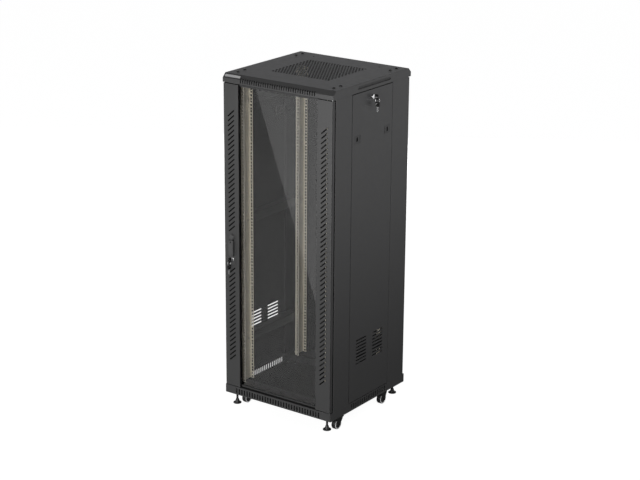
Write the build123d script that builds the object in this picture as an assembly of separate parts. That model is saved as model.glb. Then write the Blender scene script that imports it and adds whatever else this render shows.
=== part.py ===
from build123d import *
from math import atan2, degrees, hypot
import os

# Free-standing 19-inch network cabinet, 600 x 600 mm, 32 rack units, on casters.
# Millimetres. The origin is on the floor under the middle of the footprint,
# +X to the right seen from the front, the front faces -Y, and +Z is up.

# ---- driving dimensions -------------------------------------------------
WIDTH = 600.0
DEPTH = 600.0
HALF_W = WIDTH / 2
HALF_D = DEPTH / 2
BASE_BOTTOM = 79.0
BASE_TOP = 118.0
CAP_BOTTOM = 1557.0
CAP_FOLD = 1577.0           # where the front and rear of the cap start to slope
TOP = 1596.0
SLOPE_RUN = 19.0            # how far the sloped band leans back

FRAME_SHEET = 1.5
DOOR_SHEET = 1.2
PANEL_SHEET = 1.0
RAIL_SHEET = 2.0
RUNNING_GAP = 0.08          # radial gap of every running fit
CLEAR = 0.3                 # gap between faces that slide past each other

# base and roof channels
BASE_CHANNEL_INNER = 193.0
ROOF_CHANNEL_INNER = 175.0

# slots in the walls of the base
BASE_SLOT = (26.0, 6.0)     # height and width
BASE_SLOT_PITCH = 15.1
BASE_FRONT_SLOTS = 32
BASE_FRONT_SLOT_Z = 97.0
BASE_SIDE_SLOTS = 19
BASE_SIDE_SLOT_Z = 99.5

# roof perforation, in staggered rows
ROOF_VENT_R = 5.2
ROOF_VENT_PITCH = 15.1
ROOF_VENT_ROW_PITCH = 12.92
ROOF_VENTS_ACROSS = 21
ROOF_VENT_ROWS = 23
ROOF_VENT_CENTRE = (1.7, 5.7)

# slots over the front fold of the cap
CAP_SLOTS = 33
CAP_SLOT_PITCH = 12.5
CAP_SLOT_WIDTH = 5.0
CAP_SLOT_Z = (1563.0, 1583.7)
CAP_SLOT_REACH = 8.5        # how far back the cut runs into the sloped band

# the grip pressed into each side of the cap: flush at its top, deepest at its bottom
GRIP_Y = (-116.0, 136.0)
GRIP_Z = (1571.0, 1584.5)
GRIP_DEPTH = 4.0

# corner posts
POST_FACE = 280.0           # |Y| of the flange that the doors close against
POST_FLANGE_EDGE = 255.0
POST_RETURN = 288.0         # |X| of the inner return flange
POST_RETURN_END = 225.0
FRONT_POST_EDGE = 159.0
REAR_POST_EDGE = 155.0
END_PLATE = 3.0
END_PLATE_INNER = 246.0

# 19-inch mounting rails
RACK_UNIT = 44.45
RACK_UNITS = 32
UNIT_HOLES = (6.35, 22.225, 38.1)
HOLE_COLUMN = 465.1 / 2
CAGE_HOLE = 9.5
RAIL_OPENING = 225.0        # |X| of the flange edge, 450 mm clear between the rails
RAIL_WEB = 245.0
RAIL_BOTTOM = 125.0
RAIL_TOP = 1551.0
FRONT_RAIL_Y = (-242.0, -179.0)
REAR_RAIL_Y = (172.0, 236.0)

# side braces that carry the rails
BRACE_TOPS = (346.0, 922.0, 1480.0)
BRACE_HEIGHT = 40.0
BRACE_END = 222.0
BRACE_BOLTS = (178.0, 206.0)
BRACE_BOLT_DROP = 20.0
RAIL_BOLT_SPREAD = 16.0
BRACE_TAB_GAP = 5.0         # from the post's edge to the start of the tab

# front door
DOOR_BOTTOM = 121.0
DOOR_TOP = 1553.0
DOOR_EDGE = 297.0
DOOR_BACK = -284.0
GLASS_OPENING = 214.0
GLASS_EDGE = 225.0
GLASS_FRONT = -286.5
GLASS_THICKNESS = 4.0
GLASS_END_GAP = 0.4         # play between the pane and the channels along its ends
TAPE_THICKNESS = 1.0
STILE_LIP_EDGE = 228.0      # |X| of the lip that the glass is bonded to
STILE_BACK_EDGE = 272.0     # |X| of the return along the back of the stile
CROSS_CHANNEL_DEPTH = 9.0
HINGE_PLATE_INNER = 265.0
STILE_SLOT_X = 254.75
STILE_SLOT_FIRST = 262.0
STILE_SLOT_PITCH = 22.27
STILE_SLOT_COUNT = 53
STILE_SLOT_RUN = 35.0
STILE_SLOT_RISE = 31.0
STILE_SLOT_WIDTH = 6.0
HANDLE_GAP = range(20, 28)  # slots left out of the lock stile behind the handle

# hinge axes
FRONT_HINGE = (290.0, -291.0)
REAR_HINGE = (-290.0, 289.0)
HINGE_PIN_R = 3.0
HINGE_PIN_LENGTH = 12.0

# rear door
REAR_FACE = 294.0
REAR_DOOR_DEPTH = 10.0
REAR_DOOR_EDGE = 296.5
REAR_PIVOT_WIDTH = 25.0
REAR_LOCK = (250.0, 838.0)

# side panels
PANEL_FRONT = -157.5
PANEL_REAR = 153.5
PANEL_BOTTOM = 120.0
PANEL_TOP = 1554.0
PANEL_DEPTH = 12.0
PANEL_LOCK = (-1.4, 1520.5)
LATCH_FRONT_Y = -118.5
LATCH_REAR_Y = 116.0
LATCH_Z = 1350.0
LATCH_WINDOW = (46.0, 36.0)
LATCH_TRAVEL = 4.0
LATCH_SHEET = 1.5
LATCH_OVERLAP = 3.0         # how far the slider reaches past its window behind the sheet
TONGUE_REACH = 7.0
TONGUE_HALF = 9.0
CUP_HALF = (6.0, 10.0)      # finger cup, half its width and half its height inside
CUP_WALL = 2.0
CUP_DEPTH = 8.0
VENT_COLUMNS = (-65.25, 65.25)
VENT_LENGTH = 81.5
VENT_WIDTH = 6.5
VENT_TOP = 409.0
VENT_PITCH = 15.9
VENT_ROWS = 8

# front door handle
HANDLE_X = -250.0
HANDLE_TOP = 862.0
HANDLE_BOTTOM = 715.0
HANDLE_PLATE = 2.5
HANDLE_PLATE_HALF = 17.0
HANDLE_SEAT = -304.0        # Y of the front of the two round seats
HANDLE_SEAT_R = 13.0
SPINDLE_Z = 847.0
SPINDLE_R = 6.0
SPINDLE_HEAD_R = 11.7
SPINDLE_HEAD_FRONT = -310.5
LUG_HALF = 4.0
KNUCKLE_R = 4.5
HANDLE_CAM_Y = (-284.0, -281.5)
HANDLE_CAM_REACH = 24.0
HANDLE_CAM_HALF = 7.0
HANDLE_CAM_HUB_R = 9.0
LOCK_Z = 742.0
LEVER_PIVOT_Y = -311.6
LEVER_PIVOT_Z = 829.0
LEVER_BOTTOM = 759.0
LEVER_HALF = 5.3
LEVER_WIDTH = 24.0
LEVER_PIN_R = 2.0
LEVER_TOE_R = 7.0           # rounding of the grip's lower front edge

# quarter-turn locks
LOCK_FLANGE_R = 10.0
LOCK_FLANGE = 4.0
LOCK_BODY_R = 8.0
PLUG_R = 5.0
KEY_BLADE = (2.0, 8.0)
KEY_BOW = (22.0, 24.0)
KEY_BOW_THICKNESS = 5.0
KEY_BOW_CORNER = 7.0
KEY_BOW_EDGE = 1.2
KEY_NECK = 4.0              # how far the bow stands off the lock's flange
KEY_BLADE_LENGTH = 24.0
KEY_HOLE_R = 3.5
KEY_HOLE_IN = 6.0           # from the end of the bow to the middle of the ring hole
RING_R = 11.0
RING_WIRE_R = 0.8
CAM_HALF = 6.5
CAM_HUB_R = 8.0
LOCK_NUT_R = 12.0

# casters and levelling feet
CASTER_X = 257.4
CASTER_Y = 183.0
CASTER_TRAIL = 10.0
WHEEL_R = 25.0
WHEEL_WIDTH = 25.0
AXLE_R = 3.0
CASTER_BOLT_SPREAD = 22.0
CASTER_PLATE = 62.0
CASTER_PLATE_SHEET = 2.5
RACE_R = 18.0
RACE_BOTTOM = 70.0
KINGPIN_R = 4.0
KINGPIN_HEAD_R = 7.0
KINGPIN_HEAD_Z = (63.7, 66.2)
FORK_SHEET = 2.5
FORK_GAP = 1.0              # from each side of the wheel to the fork leg
CROWN_Z = (66.5, 69.7)
CROWN_HALF = 17.0
FORK_BOSS_R = 9.0
HOOD_R = (28.0, 30.5)
HOOD_START = 15.0           # height above the axle where the hood begins
HUB_R = 9.0
WHEEL_RING = (20.0, 22.5)   # the pale ring moulded into each face
TREAD_EDGE = 2.0
PEDAL_PIVOT = (23.5, 53.0)  # behind the axle, and above the floor
PEDAL_HALF = 11.0
PEDAL_LENGTH = 24.0
PEDAL_SHEET = 4.0
PEDAL_PIN_R = 2.0
FOOT_X = 257.4
FOOT_Y = 266.1
FOOT_BOTTOM = 22.0
FOOT_STUD_R = 5.0
FOOT_STUD_TOP = 104.0
FOOT_DISC_R = 19.0
FOOT_DISC = 4.0
FOOT_CONE_R = (12.0, 6.5)
FOOT_CONE = 17.0
FOOT_NUT = (9.8, 8.0)       # radius over corners and height
FOOT_HOLE_R = 5.6

# fasteners
M8_R = 4.0
M6_R = 3.0
# thread radius, head radius, head height and nut height of each kind of bolt
ROOF_BOLT = (M8_R, 7.0, 4.0, 6.5)
POST_BOLT = (M8_R, 7.0, 5.0, 6.0)
BRACE_BOLT = (M6_R, 5.5, 4.0, 4.0)
RAIL_BOLT = (M6_R, 5.5, 4.0, 5.0)
CASTER_BOLT = (M6_R, 5.5, 4.0, 5.0)
AXLE_BOLT = (AXLE_R, 5.5, 3.0, 3.0)
BOLT_TIP = 2.0              # thread that shows past each nut
SOCKET_R = 2.9              # hexagon socket of a button head, over its corners
SOCKET_DEPTH = 2.2
ROOF_BOLT_X = 260.0
ROOF_BOLT_Y = (191.0, 241.0)
BASE_BOLT_X = 268.0
BASE_BOLT_Y = (207.0, 250.0)
ROOF_HOLE = (181.0, 220.0)
ROOF_HOLE_R = 4.3

# nameplate
NAMEPLATE_X = -250.0
NAMEPLATE = (84.0, 12.0, 0.8)

CORNERS = {"front_left": (-1, -1), "front_right": (1, -1), "rear_left": (-1, 1), "rear_right": (1, 1)}


# ---- building blocks ----------------------------------------------------
def block(x, y, z):
    """A box between two limits on each axis."""
    size = Box(x[1] - x[0], y[1] - y[0], z[1] - z[0])
    return Pos((x[0] + x[1]) / 2, (y[0] + y[1]) / 2, (z[0] + z[1]) / 2) * size


def rod(start, end, radius):
    """A round bar from one point to another."""
    path = Vector(*end) - Vector(*start)
    base = Plane(origin=start, z_dir=path)
    return extrude(base * Circle(radius), path.length)


def folded(points, thickness, side, radii):
    """The cross-section of a folded sheet: its outer line, given a thickness to one side."""
    line = FilletPolyline(*points, radius=radii)
    return make_face(offset(line, thickness, side=side, kind=Kind.INTERSECTION))


def along_x(section, start, end):
    return extrude(Plane.YZ.offset(start) * section, end - start)


def along_y(section, start, end):
    """Extrudes a section drawn with X across and Z up."""
    return extrude(Plane.XZ.offset(-start) * section, -(end - start))


def along_z(section, start, end):
    return extrude(Pos(0, 0, start) * section, end - start)


def mirror_to(shape, corner):
    """Moves a shape built in the +X, +Y quarter to another corner."""
    if corner[0] < 0:
        shape = mirror(shape, about=Plane.YZ)
    if corner[1] < 0:
        shape = mirror(shape, about=Plane.XZ)
    return shape


def group(pieces):
    """Several separate solids that are saved as one sub-part."""
    return Compound([solid for piece in pieces for solid in piece.solids()])


def perforated(outline, holes, thickness):
    """A flat plate in the XY plane with any number of holes."""
    return extrude(Face(outline, holes), thickness)


def rectangle_wire(x, y, z=0.0):
    return Wire.make_polygon([(x[0], y[0], z), (x[1], y[0], z), (x[1], y[1], z), (x[0], y[1], z)], close=True)


def square_hole(x, y, side):
    half = side / 2
    return rectangle_wire((x - half, x + half), (y - half, y + half))


def bolt(head_at, nut_at, radius, head_radius, head_height, nut_height, button=False):
    """A bolt with its nut, from under the head to the face that the nut is on."""
    start = Vector(*head_at)
    direction = (Vector(*nut_at) - start).normalized()
    seat = Plane(origin=start, z_dir=direction)
    under_nut = Plane(origin=Vector(*nut_at), z_dir=direction)
    head_outline = Circle(head_radius) if button else RegularPolygon(head_radius, 6)
    head = extrude(seat * head_outline, -head_height)
    if button:
        rim = head.edges().filter_by(GeomType.CIRCLE).sort_by(Axis(head_at, tuple(-direction)))[-1]
        head = fillet(rim, head_height * 0.7)
        crown = Plane(origin=start - direction * head_height, z_dir=direction)
        head -= extrude(crown * RegularPolygon(SOCKET_R, 6), SOCKET_DEPTH)
    tip = Vector(*nut_at) + direction * (nut_height + BOLT_TIP)
    shank = rod(tuple(start), tuple(tip), radius)
    nut = extrude(under_nut * RegularPolygon(head_radius, 6), nut_height)
    return head + shank + nut


def save(name, shape):
    shape.label = name
    export_step(shape, f"parts/{name}.step")


# ---- cabinet frame ------------------------------------------------------
def evenly(count, pitch):
    """Places at one pitch, centred on zero."""
    first = -pitch * (count - 1) / 2
    return [first + pitch * index for index in range(count)]


def base_pan():
    """The welded tray at the bottom: floor, four slotted walls and a cable cut-out."""
    outer = block((-HALF_W, HALF_W), (-HALF_D, HALF_D), (BASE_BOTTOM, BASE_TOP))
    outer = fillet(outer.edges().filter_by(Axis.Z), 3.0)
    inside_w = HALF_W - FRAME_SHEET
    inside_d = HALF_D - FRAME_SHEET
    hollow = block((-inside_w, inside_w), (-inside_d, inside_d), (BASE_BOTTOM + FRAME_SHEET, BASE_TOP + 1))
    hollow = fillet(hollow.edges().filter_by(Axis.Z), 1.5)
    pan = outer - hollow
    wall_slot = Rot(90, 0, 0) * extrude(SlotOverall(*BASE_SLOT, rotation=90), FRAME_SHEET * 2, both=True)
    slots = []
    for x in evenly(BASE_FRONT_SLOTS, BASE_SLOT_PITCH):
        slots.append(Pos(x, -HALF_D, BASE_FRONT_SLOT_Z) * wall_slot)
        slots.append(Pos(x, HALF_D, BASE_FRONT_SLOT_Z) * wall_slot)
    side_slot = Rot(0, 0, 90) * wall_slot
    for y in evenly(BASE_SIDE_SLOTS, BASE_SLOT_PITCH):
        slots.append(Pos(-HALF_W, y, BASE_SIDE_SLOT_Z) * side_slot)
        slots.append(Pos(HALF_W, y, BASE_SIDE_SLOT_Z) * side_slot)
    pan -= slots
    through = 4 * FRAME_SHEET
    floor_holes = []
    for corner in CORNERS.values():
        foot_at = (corner[0] * FOOT_X, corner[1] * FOOT_Y, BASE_BOTTOM)
        floor_holes.append(Pos(*foot_at) * Cylinder(FOOT_HOLE_R, through))
        for bolt_x, bolt_y in caster_bolt_centres(corner):
            floor_holes.append(Pos(bolt_x, bolt_y, BASE_BOTTOM) * Cylinder(M6_R, through))
    return pan - floor_holes


def base_channels():
    """The two decks that the posts stand on, each folded down to the floor at its inner edge."""
    outer_edge = HALF_D - FRAME_SHEET
    points = [(outer_edge, BASE_TOP), (BASE_CHANNEL_INNER, BASE_TOP)]
    points += [(BASE_CHANNEL_INNER, BASE_BOTTOM + FRAME_SHEET)]
    section = folded(points, FRAME_SHEET, Side.LEFT, [2.0])
    end = HALF_W - 2 * FRAME_SHEET
    deck = along_x(section, -end, end)
    holes = []
    for side in (-1, 1):
        for y in BASE_BOLT_Y:
            holes.append(Pos(side * BASE_BOLT_X, y, BASE_TOP) * Cylinder(M8_R, 10))
    deck -= holes
    return group([deck, mirror(deck, about=Plane.XZ)])


def roof_channels():
    """The matching beams under the roof, which the top ends of the posts bolt to."""
    outer_edge = HALF_D - FRAME_SHEET
    under_roof = TOP - FRAME_SHEET
    points = [(outer_edge, CAP_BOTTOM), (ROOF_CHANNEL_INNER, CAP_BOTTOM), (ROOF_CHANNEL_INNER, under_roof)]
    section = folded(points, FRAME_SHEET, Side.RIGHT, [2.0])
    end = HALF_W - FRAME_SHEET
    beam = along_x(section, -end, end)
    holes = []
    for side in (-1, 1):
        for y in ROOF_BOLT_Y:
            holes.append(Pos(side * ROOF_BOLT_X, y, CAP_BOTTOM) * Cylinder(M8_R, 10))
    beam -= holes
    return group([beam, mirror(beam, about=Plane.XZ)])


def roof_vent_holes():
    """Rows of round holes over the middle of the roof, every second row set half a pitch aside."""
    holes = []
    for row, y in enumerate(evenly(ROOF_VENT_ROWS, ROOF_VENT_ROW_PITCH)):
        shift = ROOF_VENT_PITCH / (-4 if row % 2 else 4)
        for x in evenly(ROOF_VENTS_ACROSS, ROOF_VENT_PITCH):
            centre = (ROOF_VENT_CENTRE[0] + x + shift, ROOF_VENT_CENTRE[1] + y, 0)
            holes.append(Wire.make_circle(ROOF_VENT_R, Plane(origin=centre)))
    return holes


def top_cover():
    """The roof: a folded sheet with sloped front and rear bands, closed by two side walls."""
    band = HALF_D - SLOPE_RUN
    flat_end = band - 6.0
    holes = roof_vent_holes()
    for x in (-1, 1):
        for y in (-1, 1):
            for bolt_y in ROOF_BOLT_Y:
                holes.append(Wire.make_circle(M8_R, Plane(origin=(x * ROOF_BOLT_X, y * bolt_y, 0))))
        holes.append(Wire.make_circle(ROOF_HOLE_R, Plane(origin=(x * ROOF_HOLE[0], ROOF_HOLE[1], 0))))
    plate_w = HALF_W - FRAME_SHEET
    roof = perforated(rectangle_wire((-plate_w, plate_w), (-flat_end, flat_end)), holes, FRAME_SHEET)
    roof = Pos(0, 0, TOP - FRAME_SHEET) * roof

    points = [(flat_end, TOP), (band, TOP), (HALF_D, CAP_FOLD), (HALF_D, CAP_BOTTOM)]
    section = folded(points, FRAME_SHEET, Side.RIGHT, [2.5, 2.5])
    rear_band = along_x(section, -plate_w, plate_w)
    front_band = mirror(rear_band, about=Plane.XZ) - cap_slots()

    wall_outline = [(-HALF_D, CAP_BOTTOM), (-HALF_D, CAP_FOLD), (-band, TOP), (band, TOP)]
    wall_outline += [(HALF_D, CAP_FOLD), (HALF_D, CAP_BOTTOM)]
    wall = along_x(make_face(Polyline(*wall_outline, close=True)), plate_w, HALF_W)
    rim = wall.edges().filter_by_position(Axis.X, HALF_W - 0.01, HALF_W + 0.01)
    rim = [edge for edge in rim if edge.center().Z > CAP_BOTTOM + 1]
    wall = press_grip(chamfer(rim, 0.8))
    return roof + rear_band + front_band + wall + mirror(wall, about=Plane.YZ)


def press_grip(wall):
    """Sinks the long grip into the right wall of the cap; its floor leans inwards towards the bottom."""
    low, high = GRIP_Z
    outside = HALF_W + 1
    recess = [(outside, high), (HALF_W, high), (HALF_W - GRIP_DEPTH, low), (outside, low)]
    middle = HALF_W - FRAME_SHEET / 2
    foot = low - FRAME_SHEET
    backing = [(middle, high + 1), (middle, foot), (HALF_W - FRAME_SHEET - GRIP_DEPTH, foot)]
    ends = (GRIP_Y[0] - FRAME_SHEET, GRIP_Y[1] + FRAME_SHEET)
    pressed = along_y(make_face(Polyline(*backing, close=True)), *ends)
    return wall + pressed - along_y(make_face(Polyline(*recess, close=True)), *GRIP_Y)


def cap_slots():
    """Vertical cuts that run over the front fold of the cap."""
    half = CAP_SLOT_WIDTH / 2
    cutter = block((-half, half), (-HALF_D - 1, -HALF_D + CAP_SLOT_REACH), CAP_SLOT_Z)
    return [Pos(x, 0, 0) * cutter for x in evenly(CAP_SLOTS, CAP_SLOT_PITCH)]


def corner_post(corner):
    """A folded post, with a plate welded in at each end."""
    edge = FRONT_POST_EDGE if corner[1] < 0 else REAR_POST_EDGE
    points = [(POST_FLANGE_EDGE, POST_FACE), (HALF_W, POST_FACE), (HALF_W, edge)]
    points += [(POST_RETURN, edge), (POST_RETURN, POST_RETURN_END)]
    section = folded(points, FRAME_SHEET, Side.RIGHT, [2.5, 2.0, 2.0])
    post = along_z(section, BASE_TOP, CAP_BOTTOM)
    plate_x = (END_PLATE_INNER, POST_RETURN)
    plate_y = (ROOF_CHANNEL_INNER + 3, POST_FACE - FRAME_SHEET)
    top_plate = block(plate_x, plate_y, (CAP_BOTTOM - END_PLATE, CAP_BOTTOM))
    top_plate -= [Pos(ROOF_BOLT_X, y, CAP_BOTTOM) * Cylinder(M8_R, 10) for y in ROOF_BOLT_Y]
    foot_y = (BASE_CHANNEL_INNER + 3, POST_FACE - FRAME_SHEET)
    bottom_plate = block(plate_x, foot_y, (BASE_TOP, BASE_TOP + END_PLATE))
    bottom_plate -= [Pos(BASE_BOLT_X, y, BASE_TOP) * Cylinder(M8_R, 10) for y in BASE_BOLT_Y]
    post = post + top_plate + bottom_plate
    bolt_holes = []
    for z in brace_bolt_heights():
        for y in BRACE_BOLTS:
            bolt_holes.append(rod((POST_RETURN - 1, y, z), (POST_RETURN + 3, y, z), M6_R))
    return mirror_to(post - bolt_holes, corner)


def brace_bolt_heights():
    return [top - BRACE_BOLT_DROP for top in BRACE_TOPS]


def mounting_rail(corner):
    """A channel with a column of square cage-nut holes in each of its two flanges."""
    limits = FRONT_RAIL_Y if corner[1] < 0 else REAR_RAIL_Y
    low, high = sorted(abs(value) for value in limits)
    first = RAIL_BOTTOM + (RAIL_TOP - RAIL_BOTTOM - RACK_UNIT * RACK_UNITS) / 2
    heights = [first + RACK_UNIT * unit + hole for unit in range(RACK_UNITS) for hole in UNIT_HOLES]
    holes = [square_hole(HOLE_COLUMN, z, CAGE_HOLE) for z in heights]
    outline = rectangle_wire((RAIL_OPENING, RAIL_WEB), (RAIL_BOTTOM, RAIL_TOP))
    flange = Rot(90, 0, 0) * perforated(outline, holes, RAIL_SHEET)
    outer_flange = Pos(0, high, 0) * flange
    inner_flange = Pos(0, low + RAIL_SHEET, 0) * flange
    web_x = (RAIL_WEB - RAIL_SHEET, RAIL_WEB)
    web = block(web_x, (low + RAIL_SHEET, high - RAIL_SHEET), (RAIL_BOTTOM, RAIL_TOP))
    bolt_holes = []
    for y in rail_bolt_centres(corner):
        for z in brace_bolt_heights():
            bolt_holes.append(rod((RAIL_WEB - 5, y, z), (RAIL_WEB + 1, y, z), M6_R))
    return mirror_to(outer_flange + inner_flange + (web - bolt_holes), corner)


def rail_bolt_centres(corner):
    """Distances of a rail's two bolts from the middle of the cabinet."""
    limits = FRONT_RAIL_Y if corner[1] < 0 else REAR_RAIL_Y
    middle = abs(sum(limits)) / 2
    return (middle - RAIL_BOLT_SPREAD, middle + RAIL_BOLT_SPREAD)


def side_brace(top):
    """A channel from post to post, open towards the side panel, with a tab at each end."""
    bottom = top - BRACE_HEIGHT
    tab_face = POST_RETURN - FRAME_SHEET
    points = [(tab_face, top), (RAIL_WEB, top), (RAIL_WEB, bottom), (tab_face, bottom)]
    section = folded(points, FRAME_SHEET, Side.LEFT, [2.0, 2.0])
    brace = along_y(section, -BRACE_END, BRACE_END)
    for end, edge in ((-1, FRONT_POST_EDGE), (1, REAR_POST_EDGE)):
        tab_y = sorted((end * (edge + BRACE_TAB_GAP), end * BRACE_END))
        brace += block((tab_face, POST_RETURN), tab_y, (bottom, top))
    z = top - BRACE_BOLT_DROP
    holes = []
    for end in (-1, 1):
        for y in BRACE_BOLTS:
            holes.append(rod((tab_face - 2, end * y, z), (POST_RETURN + 2, end * y, z), M6_R))
        for y in rail_bolt_centres((1, end)):
            holes.append(rod((RAIL_WEB - 2, end * y, z), (RAIL_WEB + 4, end * y, z), M6_R))
    return brace - holes


def side_braces():
    right = [side_brace(top) for top in BRACE_TOPS]
    left = [mirror(brace, about=Plane.YZ) for brace in right]
    return group(right + left)


def frame_fasteners():
    """Every bolt of the frame, each with its nut."""
    pieces = []
    for corner in CORNERS.values():
        for y in ROOF_BOLT_Y:
            start = (ROOF_BOLT_X, y, TOP)
            seat = (ROOF_BOLT_X, y, CAP_BOTTOM - END_PLATE)
            pieces.append(mirror_to(bolt(start, seat, *ROOF_BOLT, button=True), corner))
        for y in BASE_BOLT_Y:
            start = (BASE_BOLT_X, y, BASE_TOP + END_PLATE)
            seat = (BASE_BOLT_X, y, BASE_TOP - FRAME_SHEET)
            pieces.append(mirror_to(bolt(start, seat, *POST_BOLT), corner))
        for z in brace_bolt_heights():
            for y in BRACE_BOLTS:
                start = (POST_RETURN - FRAME_SHEET, y, z)
                seat = (POST_RETURN + FRAME_SHEET, y, z)
                pieces.append(mirror_to(bolt(start, seat, *BRACE_BOLT), corner))
            for y in rail_bolt_centres(corner):
                start = (RAIL_WEB - RAIL_SHEET, y, z)
                seat = (RAIL_WEB + FRAME_SHEET, y, z)
                pieces.append(mirror_to(bolt(start, seat, *RAIL_BOLT), corner))
    return group(pieces)


def nameplate():
    """A blank plate at the left end of the sloped front band."""
    rise = TOP - CAP_FOLD
    length = hypot(SLOPE_RUN, rise)
    middle = (NAMEPLATE_X, -HALF_D + SLOPE_RUN / 2, CAP_FOLD + rise / 2)
    face = Plane(origin=middle, x_dir=(1, 0, 0), z_dir=(0, -rise / length, SLOPE_RUN / length))
    width, height, thickness = NAMEPLATE
    return extrude(face * RectangleRounded(width, height, 2.0), thickness)


def hinge_pin(x, y, z, direction):
    """A pin with a welded collar, standing on the base or hanging from the roof."""
    collar = rod((x, y, z), (x, y, z + direction * 1.0), 5.5)
    shank = rod((x, y, z), (x, y, z + direction * HINGE_PIN_LENGTH), HINGE_PIN_R)
    return collar + shank


def hinge_pins():
    pieces = []
    for x, y in (FRONT_HINGE, REAR_HINGE):
        pieces.append(hinge_pin(x, y, BASE_TOP, 1))
        pieces.append(hinge_pin(x, y, CAP_BOTTOM, -1))
    return group(pieces)


# ---- front door ---------------------------------------------------------
def door_stile(skipped):
    """One steel edge strip of the front door, built on the hinge side."""
    lip = GLASS_FRONT - TAPE_THICKNESS
    points = [(STILE_LIP_EDGE, lip), (GLASS_OPENING, lip), (GLASS_OPENING, -HALF_D)]
    points += [(DOOR_EDGE, -HALF_D), (DOOR_EDGE, DOOR_BACK), (STILE_BACK_EDGE, DOOR_BACK)]
    section = folded(points, DOOR_SHEET, Side.LEFT, [1.6, 1.6, 4.0, 1.6])
    return along_z(section, DOOR_BOTTOM, DOOR_TOP) - stile_slots(skipped)


def stile_slots(skipped):
    """The slanted vents, drawn for the hinge side as seen from the front."""
    length = hypot(STILE_SLOT_RUN, STILE_SLOT_RISE)
    slant = degrees(atan2(STILE_SLOT_RISE, STILE_SLOT_RUN))
    slot = Rot(90, 0, 0) * extrude(SlotOverall(length, STILE_SLOT_WIDTH, rotation=slant), 3, both=True)
    cuts = []
    for index in range(STILE_SLOT_COUNT):
        if index not in skipped:
            cuts.append(Pos(STILE_SLOT_X, -HALF_D, STILE_SLOT_FIRST + STILE_SLOT_PITCH * index) * slot)
    return cuts


def door_hinge_stile():
    return door_stile(())


def door_lock_stile():
    """The handle side: the same folded strip mirrored, with its slots slanting the same way."""
    strip = mirror(door_stile(range(STILE_SLOT_COUNT)), about=Plane.YZ)
    strip -= [Pos(-2 * STILE_SLOT_X, 0, 0) * cut for cut in stile_slots(HANDLE_GAP)]
    strip -= rod((HANDLE_X, -HALF_D - 1, SPINDLE_Z), (HANDLE_X, -HALF_D + 3, SPINDLE_Z), SPINDLE_R + 1)
    strip -= rod((HANDLE_X, -HALF_D - 1, LOCK_Z), (HANDLE_X, -HALF_D + 3, LOCK_Z), LOCK_BODY_R)
    return strip


def door_cross_channels():
    """Slim channels along the top and bottom edges of the glass, between the stiles."""
    front = GLASS_FRONT - DOOR_SHEET
    back = GLASS_FRONT + GLASS_THICKNESS + DOOR_SHEET
    edge = DOOR_BOTTOM + CROSS_CHANNEL_DEPTH
    points = [(front, edge), (front, DOOR_BOTTOM), (back, DOOR_BOTTOM), (back, edge)]
    section = folded(points, DOOR_SHEET, Side.LEFT, [1.5, 1.5])
    end = GLASS_OPENING - CLEAR
    bottom = along_x(section, -end, end)
    middle = Plane.XY.offset((DOOR_BOTTOM + DOOR_TOP) / 2)
    return group([bottom, mirror(bottom, about=middle)])


def door_glass():
    edge = DOOR_BOTTOM + DOOR_SHEET + GLASS_END_GAP
    top = DOOR_TOP - DOOR_SHEET - GLASS_END_GAP
    pane = block((-GLASS_EDGE, GLASS_EDGE), (GLASS_FRONT, GLASS_FRONT + GLASS_THICKNESS), (edge, top))
    return pane


def door_glass_tape():
    """The sealing strip that bonds each edge of the glass to its stile."""
    right = block(
        (GLASS_OPENING + 1, GLASS_EDGE),
        (GLASS_FRONT - TAPE_THICKNESS, GLASS_FRONT),
        (DOOR_BOTTOM + 2, DOOR_TOP - 2),
    )
    return group([right, mirror(right, about=Plane.YZ)])


def pivot_plates(hinge, x_limits, y_limits, low, high):
    """The two thick plates in a door's ends that turn on the hinge pins."""
    x, y = hinge
    bore_r = HINGE_PIN_R + RUNNING_GAP
    bore = rod((x, y, low - 1), (x, y, high + 1), bore_r)
    bottom = block(x_limits, y_limits, (low, low + END_PLATE)) - bore
    top = block(x_limits, y_limits, (high - END_PLATE, high)) - bore
    return [bottom, top]


def door_hinge_plates():
    sheet_inside = DOOR_EDGE - DOOR_SHEET
    plates = pivot_plates(
        FRONT_HINGE,
        (HINGE_PLATE_INNER, sheet_inside),
        (-HALF_D + DOOR_SHEET, DOOR_BACK - DOOR_SHEET - 0.5),
        DOOR_BOTTOM,
        DOOR_TOP,
    )
    rounded = []
    for plate in plates:
        outer = plate.edges().filter_by(Axis.Z).filter_by(GeomType.LINE)
        outer = [edge for edge in outer if edge.center().X > sheet_inside - 1]
        outer = [edge for edge in outer if edge.center().Y < -HALF_D + 2]
        rounded.append(fillet(outer, 2.8))
    return group(rounded)


# ---- handle of the front door -------------------------------------------
def handle_plate():
    """The flat backplate, with a raised seat for the spindle and one for the lock."""
    middle = (HANDLE_TOP + HANDLE_BOTTOM) / 2
    outline = RectangleRounded(HANDLE_PLATE_HALF * 2, HANDLE_TOP - HANDLE_BOTTOM, HANDLE_PLATE_HALF - 0.5)
    face = Plane(origin=(HANDLE_X, -HALF_D, middle), x_dir=(1, 0, 0), z_dir=(0, -1, 0))
    plate = extrude(face * outline, HANDLE_PLATE)
    plate_front = -HALF_D - HANDLE_PLATE
    rim = plate.edges().filter_by_position(Axis.Y, plate_front - 0.01, plate_front + 0.01)
    plate = fillet(rim, 1.2)
    front = -HALF_D - HANDLE_PLATE
    for z, bore_r in ((SPINDLE_Z, SPINDLE_R + RUNNING_GAP), (LOCK_Z, LOCK_BODY_R)):
        plate += rod((HANDLE_X, front + 1, z), (HANDLE_X, HANDLE_SEAT, z), HANDLE_SEAT_R)
        plate -= rod((HANDLE_X, HANDLE_SEAT - 1, z), (HANDLE_X, -HALF_D + 1, z), bore_r)
    return plate


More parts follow.
